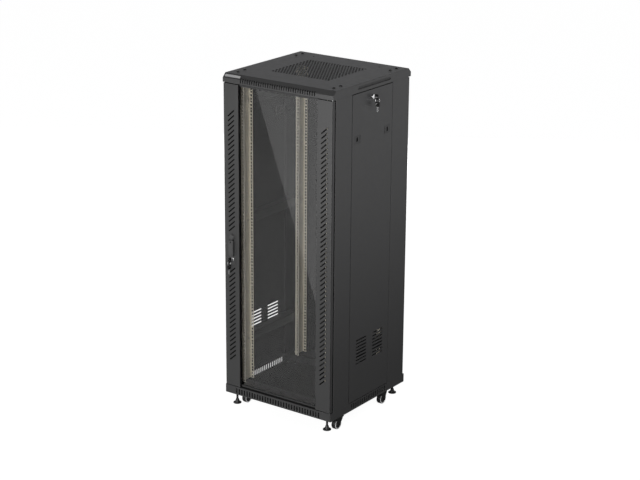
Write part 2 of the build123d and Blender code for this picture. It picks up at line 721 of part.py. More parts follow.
def handle_spindle():
    """The turning shaft: domed head, lug for the lever, and the latch cam behind the stile."""
    head_back = HANDLE_SEAT - CLEAR
    head = rod((HANDLE_X, head_back, SPINDLE_Z), (HANDLE_X, SPINDLE_HEAD_FRONT, SPINDLE_Z), SPINDLE_HEAD_R)
    rim = head.edges().filter_by(GeomType.CIRCLE).sort_by(Axis.Y)[0]
    head = fillet(rim, 3.5)
    cam_front, cam_back = HANDLE_CAM_Y
    shaft = rod((HANDLE_X, head_back - 1, SPINDLE_Z), (HANDLE_X, cam_back, SPINDLE_Z), SPINDLE_R)
    lug_x = (HANDLE_X - LUG_HALF, HANDLE_X + LUG_HALF)
    lug = block(lug_x, (SPINDLE_HEAD_FRONT, SPINDLE_HEAD_FRONT + 4), (LEVER_PIVOT_Z, SPINDLE_Z - SPINDLE_R))
    pivot = (LEVER_PIVOT_Y, LEVER_PIVOT_Z)
    lug += rod((lug_x[0], *pivot), (lug_x[1], *pivot), KNUCKLE_R)
    lug -= rod((lug_x[0] - 1, *pivot), (lug_x[1] + 1, *pivot), LEVER_PIN_R + RUNNING_GAP)
    cam_z = (SPINDLE_Z - HANDLE_CAM_HALF, SPINDLE_Z + HANDLE_CAM_HALF)
    cam = block((HANDLE_X - HANDLE_CAM_REACH, HANDLE_X), HANDLE_CAM_Y, cam_z)
    cam += rod((HANDLE_X, cam_front, SPINDLE_Z), (HANDLE_X, cam_back, SPINDLE_Z), HANDLE_CAM_HUB_R)
    return head + shaft + cam + lug


def handle_lever():
    """The grip, rounded about its pivot, with its cross pin."""
    y_back = LEVER_PIVOT_Y + LEVER_HALF
    y_front = LEVER_PIVOT_Y - LEVER_HALF
    half = LEVER_WIDTH / 2
    x_limits = (HANDLE_X - half, HANDLE_X + half)
    grip = block(x_limits, (y_front, y_back), (LEVER_BOTTOM, LEVER_PIVOT_Z))
    lower_front = grip.edges().filter_by(Axis.X).filter_by_position(Axis.Y, y_front - 0.01, y_front + 0.01)
    grip = fillet(lower_front.sort_by(Axis.Z)[0], LEVER_TOE_R)
    pivot = (LEVER_PIVOT_Y, LEVER_PIVOT_Z)
    grip += rod((x_limits[0], *pivot), (x_limits[1], *pivot), LEVER_HALF)
    slot_half = LUG_HALF + 0.4
    slot_z = (LEVER_PIVOT_Z - 7, LEVER_PIVOT_Z + 10)
    slot = block((HANDLE_X - slot_half, HANDLE_X + slot_half), (y_front - 1, y_back + 1), slot_z)
    pin_start = (x_limits[0] + 1, LEVER_PIVOT_Y, LEVER_PIVOT_Z)
    pin_end = (x_limits[1] - 1, LEVER_PIVOT_Y, LEVER_PIVOT_Z)
    pin = rod(pin_start, pin_end, LEVER_PIN_R)
    return group([grip - slot - pin, pin])


# ---- locks and keys, drawn with the lock's face at y = 0 and -y outwards -
def lock_barrel(length, nut):
    """The chrome flange and the tube behind it, with its fixing nut."""
    flange = rod((0, -LOCK_FLANGE, 0), (0, 0, 0), LOCK_FLANGE_R)
    rim = flange.edges().filter_by(GeomType.CIRCLE).sort_by(Axis.Y)[0]
    flange = fillet(rim, 1.5)
    tube = rod((0, -1, 0), (0, length, 0), LOCK_BODY_R)
    bore = rod((0, -LOCK_FLANGE - 1, 0), (0, length + 1, 0), PLUG_R + RUNNING_GAP)
    pieces = [(flange + tube) - bore]
    if nut:
        start, end = nut
        seat = Plane(origin=(0, start, 0), z_dir=(0, 1, 0))
        ring = extrude(seat * RegularPolygon(LOCK_NUT_R, 6), end - start)
        pieces.append(ring - rod((0, start - 1, 0), (0, end + 1, 0), LOCK_BODY_R))
    return pieces


def lock_plug(length, cam_length, cam_thickness, cam_turn):
    """The turning core with its keyway, and the cam on its tail."""
    face = -LOCK_FLANGE - 0.5
    core = rod((0, face, 0), (0, length, 0), PLUG_R)
    half_width, half_height = (side / 2 + 0.1 for side in KEY_BLADE)
    keyway = block((-half_width, half_width), (face - 1, 5), (-half_height, half_height))
    cam_y = (length, length + cam_thickness)
    cam = block((-CAM_HALF, CAM_HALF), cam_y, (0, cam_length))
    cam += rod((0, cam_y[0], 0), (0, cam_y[1], 0), CAM_HUB_R)
    cam = fillet(cam.edges().filter_by(Axis.Y).sort_by(Axis.Z)[-2:], 2.5)
    return (core - keyway) + Rot(0, cam_turn, 0) * cam


def key_pieces():
    """A key whose blade fills the keyway; its bow stands out, with a hole for the ring."""
    bow_start = -LOCK_FLANGE - KEY_NECK
    hole_y = ring_hole_y()
    bow = key_bow(bow_start - KEY_BOW[0] / 2, 0, KEY_BOW, (hole_y, 0))
    half_width, half_height = (side / 2 for side in KEY_BLADE)
    blade = block((-half_width, half_width), (bow_start, 4.5), (-half_height, half_height))
    return [bow, blade]


def key_bow(y, z, size, hole):
    """The moulded grip of a key, flat across X, with its ring hole."""
    face = Plane(origin=(-KEY_BOW_THICKNESS / 2, y, z), x_dir=(0, 1, 0), z_dir=(1, 0, 0))
    bow = extrude(face * RectangleRounded(*size, KEY_BOW_CORNER), KEY_BOW_THICKNESS)
    bow = fillet(bow.edges().group_by(Axis.X)[0] + bow.edges().group_by(Axis.X)[-1], KEY_BOW_EDGE)
    return bow - rod((-KEY_BOW_THICKNESS, *hole), (KEY_BOW_THICKNESS, *hole), KEY_HOLE_R)


def ring_hole_y():
    return -LOCK_FLANGE - KEY_NECK - KEY_BOW[0] + KEY_HOLE_IN


def spare_key_pieces():
    """The ring through the first key's bow, and a second key that hangs from it."""
    ring_top = -(KEY_HOLE_R - RING_WIRE_R - CLEAR)
    ring_middle = ring_top - RING_R
    ring_bottom = ring_middle - RING_R
    y = ring_hole_y()
    ring = Plane(origin=(0, y, ring_middle), z_dir=(0, 1, 0)) * Torus(RING_R, RING_WIRE_R)
    hole_z = ring_bottom - (KEY_HOLE_R - RING_WIRE_R - 0.05)
    bow_bottom = hole_z + KEY_HOLE_IN - KEY_BOW[0]
    bow = key_bow(y, bow_bottom + KEY_BOW[0] / 2, (KEY_BOW[1], KEY_BOW[0]), (y, hole_z))
    half_width, half_height = (side / 2 for side in KEY_BLADE)
    blade_z = (bow_bottom - KEY_BLADE_LENGTH, bow_bottom)
    blade = block((-half_width, half_width), (y - half_height, y + half_height), blade_z)
    tip = blade.edges().filter_by(Axis.X).group_by(Axis.Z)[0]
    return [ring, bow, chamfer(tip, 2.5)]


def at_lock(pieces, turn, x, y, z):
    place = Pos(x, y, z) * Rot(0, 0, turn)
    return group([place * piece for piece in pieces])


# ---- side panels and rear door ------------------------------------------
def pan(width, height, depth, sheet):
    """A shallow folded tray: face at y = 0, returns running to y = depth."""
    outer = block((-width / 2, width / 2), (0, depth), (-height / 2, height / 2))
    outer = fillet(outer.edges().group_by(Axis.Y)[0], 1.5)
    inner_w = width / 2 - sheet
    inner_h = height / 2 - sheet
    return outer - block((-inner_w, inner_w), (sheet, depth + 1), (-inner_h, inner_h))


def side_panel(lock_x, latch_xs):
    """The removable side, face at y = 0; the rear of the cabinet is at +x of this drawing."""
    width = PANEL_REAR - PANEL_FRONT
    height = PANEL_TOP - PANEL_BOTTOM
    middle_z = (PANEL_TOP + PANEL_BOTTOM) / 2
    sheet = pan(width, height, PANEL_DEPTH, PANEL_SHEET)
    cuts = []
    slot = Rot(90, 0, 0) * extrude(SlotOverall(VENT_LENGTH, VENT_WIDTH), 3, both=True)
    for column in VENT_COLUMNS:
        for row in range(VENT_ROWS):
            cuts.append(Pos(column - panel_middle(), 0, VENT_TOP - VENT_PITCH * row - middle_z) * slot)
    for x in latch_xs:
        window_x = (x - LATCH_WINDOW[0] / 2, x + LATCH_WINDOW[0] / 2)
        window_z = (LATCH_Z - middle_z - LATCH_WINDOW[1] / 2, LATCH_Z - middle_z + LATCH_WINDOW[1] / 2)
        cuts.append(block(window_x, (-1, PANEL_SHEET + 1), window_z))
    lock_z = PANEL_LOCK[1] - middle_z
    cuts.append(rod((lock_x, -1, lock_z), (lock_x, 3, lock_z), LOCK_BODY_R))
    return sheet - cuts


def panel_middle():
    return (PANEL_REAR + PANEL_FRONT) / 2


def latch_slider():
    """A spring latch, drawn at rest with its tongue towards +x and its window centred on x = 0."""
    half_w = LATCH_WINDOW[0] / 2
    half_h = LATCH_WINDOW[1] / 2 - CLEAR
    across = (-half_w + LATCH_TRAVEL + CLEAR, half_w - CLEAR)
    back = PANEL_SHEET + CLEAR
    behind = (back, back + LATCH_SHEET)
    slider = block(across, (0, back), (-half_h, half_h))
    keeper_x = (-half_w - LATCH_OVERLAP, half_w + LATCH_TRAVEL + 1)
    slider += block(keeper_x, behind, (-half_h - LATCH_OVERLAP, half_h + LATCH_OVERLAP))
    slider += block((0, half_w + TONGUE_REACH), behind, (-TONGUE_HALF, TONGUE_HALF))
    cup_x, cup_z = CUP_HALF
    wall_x, wall_z = (half + CUP_WALL for half in CUP_HALF)
    slider += block((-wall_x, wall_x), (back, CUP_DEPTH + LATCH_SHEET), (-wall_z, wall_z))
    return slider - block((-cup_x, cup_x), (-1, CUP_DEPTH), (-cup_z, cup_z))


def to_side(shape, side):
    """Turns a panel drawing to face +X or -X, keeping its +x towards the rear on the right side."""
    return Pos(side * HALF_W, 0, 0) * Rot(0, 0, 90 * side) * shape


def side_lock_place(side):
    """Turn and place of a side panel's lock, as at_lock takes them."""
    return (90 * side, side * HALF_W, *PANEL_LOCK)


def build_side(name, side):
    """One side panel with its two latches, lock barrel and plug."""
    middle_z = (PANEL_TOP + PANEL_BOTTOM) / 2
    centre = side * panel_middle()
    lock_x = side * PANEL_LOCK[0]
    latch_x = {"front": side * LATCH_FRONT_Y, "rear": side * LATCH_REAR_Y}
    if side > 0:
        panel = side_panel(lock_x - centre, [x - centre for x in latch_x.values()])
    else:
        mirrored = side_panel(-lock_x + centre, [-x + centre for x in latch_x.values()])
        panel = mirror(mirrored, about=Plane.YZ)
    save(f"{name}_side_panel", to_side(Pos(centre, 0, middle_z) * panel, side))
    for place, x in latch_x.items():
        slider = latch_slider()
        if x < 0:
            slider = mirror(slider, about=Plane.YZ)
        save(f"{name}_{place}_latch", to_side(Pos(x, 0, LATCH_Z) * slider, side))
    save(f"{name}_lock_barrel", at_lock(lock_barrel(18, (1.0, 5.0)), *side_lock_place(side)))
    save(f"{name}_lock_plug", at_lock([lock_plug(19, 34.5, 2.0, 0)], *side_lock_place(side)))


def rear_door():
    """A plain folded tray door with pivot plates welded into its hinge corners."""
    width = 2 * REAR_DOOR_EDGE
    height = DOOR_TOP - DOOR_BOTTOM
    middle_z = (DOOR_TOP + DOOR_BOTTOM) / 2
    tray = Pos(0, REAR_FACE, middle_z) * Rot(0, 0, 180) * pan(width, height, REAR_DOOR_DEPTH, PANEL_SHEET)
    edge = -width / 2 + PANEL_SHEET
    plates = pivot_plates(
        REAR_HINGE,
        (edge, edge + REAR_PIVOT_WIDTH),
        (REAR_FACE - REAR_DOOR_DEPTH, REAR_FACE - PANEL_SHEET),
        DOOR_BOTTOM + PANEL_SHEET,
        DOOR_TOP - PANEL_SHEET,
    )
    bore = rod((*REAR_HINGE, DOOR_BOTTOM - 1), (*REAR_HINGE, DOOR_TOP + 1), HINGE_PIN_R + RUNNING_GAP)
    tray = (tray + plates[0] + plates[1]) - bore
    lock_x, lock_z = REAR_LOCK
    return tray - rod((lock_x, REAR_FACE - 3, lock_z), (lock_x, REAR_FACE + 1, lock_z), LOCK_BODY_R)


# ---- casters and levelling feet -----------------------------------------
def caster_bolt_centres(corner):
    spread = CASTER_BOLT_SPREAD
    centre = (corner[0] * CASTER_X, corner[1] * CASTER_Y)
    return [(centre[0] + dx, centre[1] + dy) for dx in (-spread, spread) for dy in (-spread, spread)]


def caster_plates():
    """The fixed top plate of each caster, with its bearing race and kingpin."""
    pieces = []
    for corner in CORNERS.values():
        x, y = corner[0] * CASTER_X, corner[1] * CASTER_Y
        plate = extrude(RectangleRounded(CASTER_PLATE, CASTER_PLATE, 6), CASTER_PLATE_SHEET)
        plate = Pos(x, y, BASE_BOTTOM - CASTER_PLATE_SHEET) * plate
        plate += rod((x, y, RACE_BOTTOM), (x, y, BASE_BOTTOM - 2), RACE_R)
        plate += rod((x, y, KINGPIN_HEAD_Z[0]), (x, y, RACE_BOTTOM + 1), KINGPIN_R)
        plate += rod((x, y, KINGPIN_HEAD_Z[0]), (x, y, KINGPIN_HEAD_Z[1]), KINGPIN_HEAD_R)
        holes = [Pos(bx, by, BASE_BOTTOM - 1) * Cylinder(M6_R, 8) for bx, by in caster_bolt_centres(corner)]
        pieces.append(plate - holes)
    return group(pieces)


def underside_fasteners():
    """The caster bolts, and the weld nut that each levelling foot screws into."""
    pieces = []
    for corner in CORNERS.values():
        for x, y in caster_bolt_centres(corner):
            start = (x, y, BASE_BOTTOM - CASTER_PLATE_SHEET)
            seat = (x, y, BASE_BOTTOM + FRAME_SHEET)
            pieces.append(bolt(start, seat, *CASTER_BOLT))
        foot = (corner[0] * FOOT_X, corner[1] * FOOT_Y)
        nut_r, nut_height = FOOT_NUT
        nut = Pos(*foot, BASE_BOTTOM - nut_height) * extrude(RegularPolygon(nut_r, 6), nut_height)
        pieces.append(nut - Pos(*foot, BASE_BOTTOM) * Cylinder(FOOT_STUD_R + RUNNING_GAP, 30))
    return group(pieces)


def caster_fork(x, y, braked):
    """The swivelling fork with a hood over the wheel, and the axle bolt; the wheel trails towards -y."""
    wheel_y = y - CASTER_TRAIL
    inner = WHEEL_WIDTH / 2 + FORK_GAP
    outer = inner + FORK_SHEET
    crown_low, crown_high = CROWN_Z
    boss = FORK_BOSS_R
    leg_points = [(y + CROWN_HALF, crown_high), (y - CROWN_HALF, crown_high), (wheel_y - 20, 58.0)]
    leg_points += [(wheel_y - boss, WHEEL_R), (wheel_y + boss, WHEEL_R)]
    leg_points += [(wheel_y + 27, 47.0), (wheel_y + 29, 58.0)] if braked else [(wheel_y + 24, 54.0)]
    leg = along_x(make_face(Polyline(*leg_points, close=True)), x + inner, x + outer)
    leg += rod((x + inner, wheel_y, WHEEL_R), (x + outer, wheel_y, WHEEL_R), boss)
    other_leg = mirror(leg, about=Plane.YZ.offset(x))
    crown = block((x - outer, x + outer), (y - CROWN_HALF, y + CROWN_HALF), CROWN_Z)
    axle_line = Pos(x, wheel_y, WHEEL_R) * Rot(0, 90, 0)
    arch = axle_line * (Cylinder(HOOD_R[1], 2 * inner) - Cylinder(HOOD_R[0], 4 * inner))
    hood_y = (wheel_y - 20, wheel_y + 14)
    hood = arch & block((x - outer, x + outer), hood_y, (WHEEL_R + HOOD_START, BASE_BOTTOM))
    fork = leg + other_leg + crown + hood
    fork -= rod((x, y, crown_low - 1), (x, y, crown_high + 1), KINGPIN_R + RUNNING_GAP)
    room = KINGPIN_HEAD_R + 1
    fork -= block((x - room, x + room), (y - room, y + room), (HOOD_R[0], crown_low))
    fork -= axle_line * Cylinder(AXLE_R, 4 * inner)
    axle = bolt((x - outer, wheel_y, WHEEL_R), (x + outer, wheel_y, WHEEL_R), *AXLE_BOLT)
    return [fork, axle], wheel_y


def caster_wheel(x, wheel_y):
    """A grooved wheel with a stepped hub face."""
    half = WHEEL_WIDTH / 2
    bore = AXLE_R + RUNNING_GAP
    ring_in, ring_out = WHEEL_RING
    side = [(bore, half), (HUB_R, half), (HUB_R + 1.5, half - 2), (ring_in - 0.5, half - 2)]
    side += [(ring_in, half - 1), (ring_out, half - 1), (ring_out + 0.5, half - 1.5)]
    side += [(WHEEL_R - 0.8, half - TREAD_EDGE), (WHEEL_R, half - 2 * TREAD_EDGE)]
    other_side = [(radius, -across) for radius, across in reversed(side)]
    profile = make_face(Polyline(*side, *other_side, close=True))
    wheel = revolve(profile, axis=Axis.Y)
    return Pos(x, wheel_y, WHEEL_R) * Rot(0, 0, 90) * wheel


def brake_pedal(x, wheel_y):
    """The foot pedal behind a braked wheel: a tread on a cross pin between the fork legs."""
    pivot_y, pivot_z = wheel_y + PEDAL_PIVOT[0], PEDAL_PIVOT[1]
    knuckle = rod((x - PEDAL_HALF, pivot_y, pivot_z), (x + PEDAL_HALF, pivot_y, pivot_z), PEDAL_SHEET)
    tread_y = (pivot_y, pivot_y + PEDAL_LENGTH)
    tread = block((x - PEDAL_HALF, x + PEDAL_HALF), tread_y, (pivot_z - PEDAL_SHEET, pivot_z))
    ends = tread.edges().filter_by(Axis.Z).group_by(Axis.Y)[-1]
    tread = fillet(ends, 5.0)
    bore_r = PEDAL_PIN_R + RUNNING_GAP
    bore = rod((x - PEDAL_HALF - 1, pivot_y, pivot_z), (x + PEDAL_HALF + 1, pivot_y, pivot_z), bore_r)
    pin_end = WHEEL_WIDTH / 2 + FORK_GAP + FORK_SHEET
    pin = rod((x - pin_end, pivot_y, pivot_z), (x + pin_end, pivot_y, pivot_z), PEDAL_PIN_R)
    return (knuckle + tread) - bore, pin


def levelling_foot(corner):
    """A screw-down foot: disc, cone and threaded stud."""
    x, y = corner[0] * FOOT_X, corner[1] * FOOT_Y
    disc = rod((x, y, FOOT_BOTTOM), (x, y, FOOT_BOTTOM + FOOT_DISC), FOOT_DISC_R)
    disc = fillet(disc.edges().filter_by(GeomType.CIRCLE).sort_by(Axis.Z)[-1], 1.5)
    cone = Pos(x, y, FOOT_BOTTOM + FOOT_DISC + FOOT_CONE / 2) * Cone(*FOOT_CONE_R, FOOT_CONE)
    stud = rod((x, y, FOOT_BOTTOM + FOOT_CONE), (x, y, FOOT_STUD_TOP), FOOT_STUD_R)
    stud = chamfer(stud.edges().filter_by(GeomType.CIRCLE).sort_by(Axis.Z)[-1], 1.0)
    return disc + cone + stud


# ---- assembly -----------------------------------------------------------
def build_frame():
    save("top_cover", top_cover())
    save("roof_channels", roof_channels())
    save("base_pan", base_pan())
    save("base_channels", base_channels())
    for name, corner in CORNERS.items():
        save(f"{name}_post", corner_post(corner))
        save(f"{name}_rail", mounting_rail(corner))
    save("side_braces", side_braces())
    save("frame_fasteners", frame_fasteners())
    save("nameplate", nameplate())
    save("hinge_pins", hinge_pins())


def build_front_door():
    save("door_hinge_stile", door_hinge_stile())
    save("door_lock_stile", door_lock_stile())
    save("door_cross_channels", door_cross_channels())
    save("door_glass", door_glass())
    save("door_glass_tape", door_glass_tape())
    save("door_hinge_plates", door_hinge_plates())
    save("handle_plate", handle_plate())
    save("handle_spindle", handle_spindle())
    save("handle_lever", handle_lever())
    lock_place = (0, HANDLE_X, HANDLE_SEAT, LOCK_Z)
    save("handle_lock_barrel", at_lock(lock_barrel(14, None), *lock_place))
    save("handle_lock_plug", at_lock([lock_plug(15, 12.0, 2.0, 90)], *lock_place))
    save("handle_key", at_lock(key_pieces(), *lock_place))
    save("handle_spare_key", at_lock(spare_key_pieces(), *lock_place))


def build_sides():
    build_side("right", 1)
    build_side("left", -1)
    save("right_key", at_lock(key_pieces(), *side_lock_place(1)))
    save("right_spare_key", at_lock(spare_key_pieces(), *side_lock_place(1)))


def build_rear_door():
    save("rear_door", rear_door())
    lock_place = (180, REAR_LOCK[0], REAR_FACE, REAR_LOCK[1])
    save("rear_lock_barrel", at_lock(lock_barrel(9, (1.0, 4.0)), *lock_place))
    save("rear_lock_plug", at_lock([lock_plug(11, 30.0, 1.8, -90)], *lock_place))


def build_casters_and_feet():
    save("caster_plates", caster_plates())
    save("underside_fasteners", underside_fasteners())
    for name, corner in CORNERS.items():
        x, y = corner[0] * CASTER_X, corner[1] * CASTER_Y
        braked = corner[1] < 0
        fork, wheel_y = caster_fork(x, y, braked)
        if braked:
            pedal, pin = brake_pedal(x, wheel_y)
            fork = [fork[0] - pin, fork[1], pin]
            save(f"{name}_brake_pedal", pedal)
        save(f"{name}_caster_fork", group(fork))
        save(f"{name}_wheel", caster_wheel(x, wheel_y))
        save(f"{name}_foot", levelling_foot(corner))


os.makedirs("parts", exist_ok=True)
build_frame()
build_front_door()
build_sides()
build_rear_door()
build_casters_and_feet()
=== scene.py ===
import math

import bmesh
import bpy
from mathutils import Matrix, Vector


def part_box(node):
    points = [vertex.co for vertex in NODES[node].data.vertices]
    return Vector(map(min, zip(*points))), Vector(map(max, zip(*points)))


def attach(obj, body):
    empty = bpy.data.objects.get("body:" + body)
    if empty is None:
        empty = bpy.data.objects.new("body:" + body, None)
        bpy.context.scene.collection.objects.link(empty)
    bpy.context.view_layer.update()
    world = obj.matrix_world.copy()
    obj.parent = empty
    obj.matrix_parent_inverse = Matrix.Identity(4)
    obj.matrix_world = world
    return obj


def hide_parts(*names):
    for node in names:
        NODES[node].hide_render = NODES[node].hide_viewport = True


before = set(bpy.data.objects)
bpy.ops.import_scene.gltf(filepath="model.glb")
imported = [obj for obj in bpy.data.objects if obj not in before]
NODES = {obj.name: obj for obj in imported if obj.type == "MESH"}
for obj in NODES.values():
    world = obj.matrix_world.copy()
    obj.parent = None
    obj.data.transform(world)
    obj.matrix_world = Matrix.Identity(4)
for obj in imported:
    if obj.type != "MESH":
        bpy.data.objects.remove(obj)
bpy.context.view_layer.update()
MM = 0.001

# ---- camera and studio --------------------------------------------------
CAMERA_PLACE = (4.5004, -6.2525, 3.3209)
CAMERA_YAW = math.radians(-35.625)
CAMERA_PITCH = math.radians(-18.102)
CAMERA_ROLL = math.radians(0.427)
SENSOR_MM = 36.0
LENS_MM = 99.56
CLIP_END = 100

PAPER_WHITE = (1.0, 1.0, 1.0, 1.0)
FILL_GREY = (0.22, 0.22, 0.225, 1.0)
CEILING_GREY = (0.03, 0.03, 0.03, 1.0)
HORIZON_GREY = (0.50, 0.50, 0.51, 1.0)
# the floor as mirrors see it: painted shade on the left, a painted shadow near the object, pale far off
LEFT_FLOOR_PAINTED_SHADE = (0.08, 0.08, 0.08, 1.0)
NEAR_FLOOR_PAINTED_SHADOW = (0.05, 0.05, 0.05, 1.0)
FAR_FLOOR = (0.85, 0.85, 0.86, 1.0)
FLOOR_HALF = 25.0
FLOOR_GAP = 0.0005

# two glowing cards that only mirrors see, for bright reflections in the door: their outlines as mirrored in
# the door, x and z in metres
GLASS_FRONT = -0.2865
CARD_PLANE = -1.5
CARD_ON_GLASS = ((-0.1455, 1.600), (0.300, 1.600), (0.300, 0.356))
CARD_RADIANCE = 1.05
BRIGHT_ON_DOOR = ((0.300, 1.050), (0.300, 1.900), (0.800, 2.300), (0.800, 1.050))
BRIGHT_RADIANCE = 2.4


def make_camera():
    forward = Vector((
        math.sin(CAMERA_YAW) * math.cos(CAMERA_PITCH),
        math.cos(CAMERA_YAW) * math.cos(CAMERA_PITCH),
        math.sin(CAMERA_PITCH),
    ))
    right = Vector((math.cos(CAMERA_YAW), -math.sin(CAMERA_YAW), 0))
    up = right.cross(forward)
    turned_right = right * math.cos(CAMERA_ROLL) + up * math.sin(CAMERA_ROLL)
    turned_up = up * math.cos(CAMERA_ROLL) - right * math.sin(CAMERA_ROLL)
    data = bpy.data.cameras.new("camera")
    data.sensor_width = SENSOR_MM
    data.lens = LENS_MM
    data.clip_end = CLIP_END
    camera = bpy.data.objects.new("camera", data)
    axes = Matrix((turned_right, turned_up, -forward)).transposed().to_4x4()
    camera.matrix_world = Matrix.Translation(CAMERA_PLACE) @ axes
    bpy.context.scene.collection.objects.link(camera)
    bpy.context.scene.camera = camera


def area_light(name, place, target, size, power, mirrored=False):
    data = bpy.data.lights.new(name, "AREA")
    data.shape = "RECTANGLE"
    data.size, data.size_y = size
    data.energy = power
    light = bpy.data.objects.new(name, data)
    bpy.context.scene.collection.objects.link(light)
    aim = (Vector(target) - Vector(place)).to_track_quat("-Z", "Y")
    light.matrix_world = Matrix.Translation(place) @ aim.to_matrix().to_4x4()
    light.visible_glossy = mirrored
    light.visible_transmission = False


def colour_ramp(tree, source, start, end, low, high):
    """Colour low where source is under start, high where it is over end; low may be a socket."""
    place = tree.nodes.new("ShaderNodeMapRange")
    place.interpolation_type = "SMOOTHSTEP"
    place.inputs["From Min"].default_value = start
    place.inputs["From Max"].default_value = end
    tree.links.new(source, place.inputs["Value"])
    mix = tree.nodes.new("ShaderNodeMix")
    mix.data_type = "RGBA"
    colours = [socket for socket in mix.inputs if socket.type == "RGBA"]
    if hasattr(low, "is_output"):
        tree.links.new(low, colours[0])
    else:
        colours[0].default_value = low
    colours[1].default_value = high
    tree.links.new(place.outputs["Result"], mix.inputs["Factor"])
    return [socket for socket in mix.outputs if socket.type == "RGBA"][0]


def coordinate(tree, output, letter):
    place = tree.nodes.new("ShaderNodeTexCoord")
    split = tree.nodes.new("ShaderNodeSeparateXYZ")
    tree.links.new(place.outputs[output], split.inputs[0])
    return split.outputs[letter]


def make_world():
    """White paper behind the object; mirrors see a dark ceiling over a grey horizon."""
    world = bpy.data.worlds.new("studio")
    bpy.context.scene.world = world
    world.use_nodes = True
    tree = world.node_tree
    tree.nodes.clear()
    path = tree.nodes.new("ShaderNodeLightPath")
    seen = tree.nodes.new("ShaderNodeBackground")
    seen.inputs["Color"].default_value = PAPER_WHITE
    fill = tree.nodes.new("ShaderNodeBackground")
    fill.inputs["Color"].default_value = FILL_GREY
    mirrored = tree.nodes.new("ShaderNodeBackground")
    height = coordinate(tree, "Generated", "Z")
    sky = colour_ramp(tree, height, 0.4, 0.65, HORIZON_GREY, CEILING_GREY)
    tree.links.new(sky, mirrored.inputs["Color"])
    by_mirror = tree.nodes.new("ShaderNodeMixShader")
    direct = tree.nodes.new("ShaderNodeMath")
    direct.operation = "MAXIMUM"
    by_camera = tree.nodes.new("ShaderNodeMixShader")
    out = tree.nodes.new("ShaderNodeOutputWorld")
    tree.links.new(path.outputs["Is Glossy Ray"], by_mirror.inputs["Fac"])
    tree.links.new(fill.outputs[0], by_mirror.inputs[1])
    tree.links.new(mirrored.outputs[0], by_mirror.inputs[2])
    tree.links.new(path.outputs["Is Camera Ray"], direct.inputs[0])
    tree.links.new(path.outputs["Is Transmission Ray"], direct.inputs[1])
    tree.links.new(direct.outputs[0], by_camera.inputs["Fac"])
    tree.links.new(by_mirror.outputs[0], by_camera.inputs[1])
    tree.links.new(seen.outputs[0], by_camera.inputs[2])
    tree.links.new(by_camera.outputs[0], out.inputs[0])


def make_floor():
    """White paper to the camera; mirrors see it with a painted shadow near the object and painted shade on
    the left.
    """
    half = FLOOR_HALF
    mesh = bpy.data.meshes.new("floor")
    corners = [(-half, -half, 0), (half, -half, 0), (half, half, 0), (-half, half, 0)]
    mesh.from_pydata(corners, [], [(0, 1, 2, 3)])
    floor = bpy.data.objects.new("floor", mesh)
    bpy.context.scene.collection.objects.link(floor)
    floor.location.z = -FLOOR_GAP
    floor.visible_diffuse = False
    paper, shader = new_material("pale_floor")
    shader.inputs["Base Color"].default_value = (0.2, 0.2, 0.2, 1)
    shader.inputs["Roughness"].default_value = 0.9
    shader.inputs["Specular IOR Level"].default_value = 0.0
    shader.inputs["Emission Color"].default_value = PAPER_WHITE
    shader.inputs["Emission Strength"].default_value = 0.95
    tree = paper.node_tree
    # painted shadow: to mirrors the floor glows dark near the object and on the left, pale far off
    mirrored = tree.nodes.new("ShaderNodeEmission")
    to_the_right = coordinate(tree, "Object", "X")
    near_painted_shadow = colour_ramp(tree, to_the_right, -0.5, 0.3, LEFT_FLOOR_PAINTED_SHADE, NEAR_FLOOR_PAINTED_SHADOW)
    tree.links.new(colour_ramp(tree, to_the_right, 0.7, 3.3, near_painted_shadow, FAR_FLOOR), mirrored.inputs["Color"])
    path = tree.nodes.new("ShaderNodeLightPath")
    only_mirrored = tree.nodes.new("ShaderNodeMath")
    only_mirrored.operation = "SUBTRACT"
    only_mirrored.use_clamp = True
    tree.links.new(path.outputs["Is Glossy Ray"], only_mirrored.inputs[0])
    tree.links.new(path.outputs["Is Transmission Ray"], only_mirrored.inputs[1])
    mix = tree.nodes.new("ShaderNodeMixShader")
    tree.links.new(only_mirrored.outputs[0], mix.inputs["Fac"])
    tree.links.new(shader.outputs[0], mix.inputs[1])
    tree.links.new(mirrored.outputs[0], mix.inputs[2])
    tree.links.new(mix.outputs[0], tree.nodes["Material Output"].inputs["Surface"])
    mesh.materials.append(paper)


def in_the_mirror(x, z):
    """Where the camera's ray to a point of the door meets the card's plane after the mirror."""
    on_glass = Vector((x, GLASS_FRONT, z))
    ray = on_glass - Vector(CAMERA_PLACE)
    ray.y = -ray.y
    return on_glass + ray * ((CARD_PLANE - GLASS_FRONT) / ray.y)


def make_card(name, on_door, radiance):
    """A glowing card that only mirrors see; on_door is its outline as mirrored by the door."""
    mesh = bpy.data.meshes.new(name)
    corners = [in_the_mirror(*corner) for corner in on_door]
    mesh.from_pydata(corners, [], [tuple(range(len(corners)))])
    card = bpy.data.objects.new(name, mesh)
    bpy.context.scene.collection.objects.link(card)
    card.visible_camera = False
    card.visible_diffuse = False
    card.visible_transmission = False
    card.visible_shadow = False
    pale, shader = new_material(f"{name}_paper")
    shader.inputs["Base Color"].default_value = (0, 0, 0, 1)
    shader.inputs["Specular IOR Level"].default_value = 0.0
    shader.inputs["Emission Color"].default_value = PAPER_WHITE
    shader.inputs["Emission Strength"].default_value = radiance
    mesh.materials.append(pale)


# ---- materials ----------------------------------------------------------
SKIN_TONE = 0.056
# painted shade: colour for faces inside the cabinet, darker than the skin though the coat is the same
SHADED_INSIDE_TONE = 0.018
ROOF_FACE = 1.596
ROOF_SLOPE_START = 1.577
ROOF_SLOPE_END = 0.281
GLASS_IOR = 1.5
THREADS_PER_METRE = 667
CONE_TOP = 0.0430
THREAD_START = 0.0434
RING_INNER = (0.0189, 0.0192)
RING_OUTER = (0.0238, 0.0241)


def new_material(name):
    material = bpy.data.materials.new(name)
    material.use_nodes = True
    shader = material.node_tree.nodes["Principled BSDF"]
    return material, shader


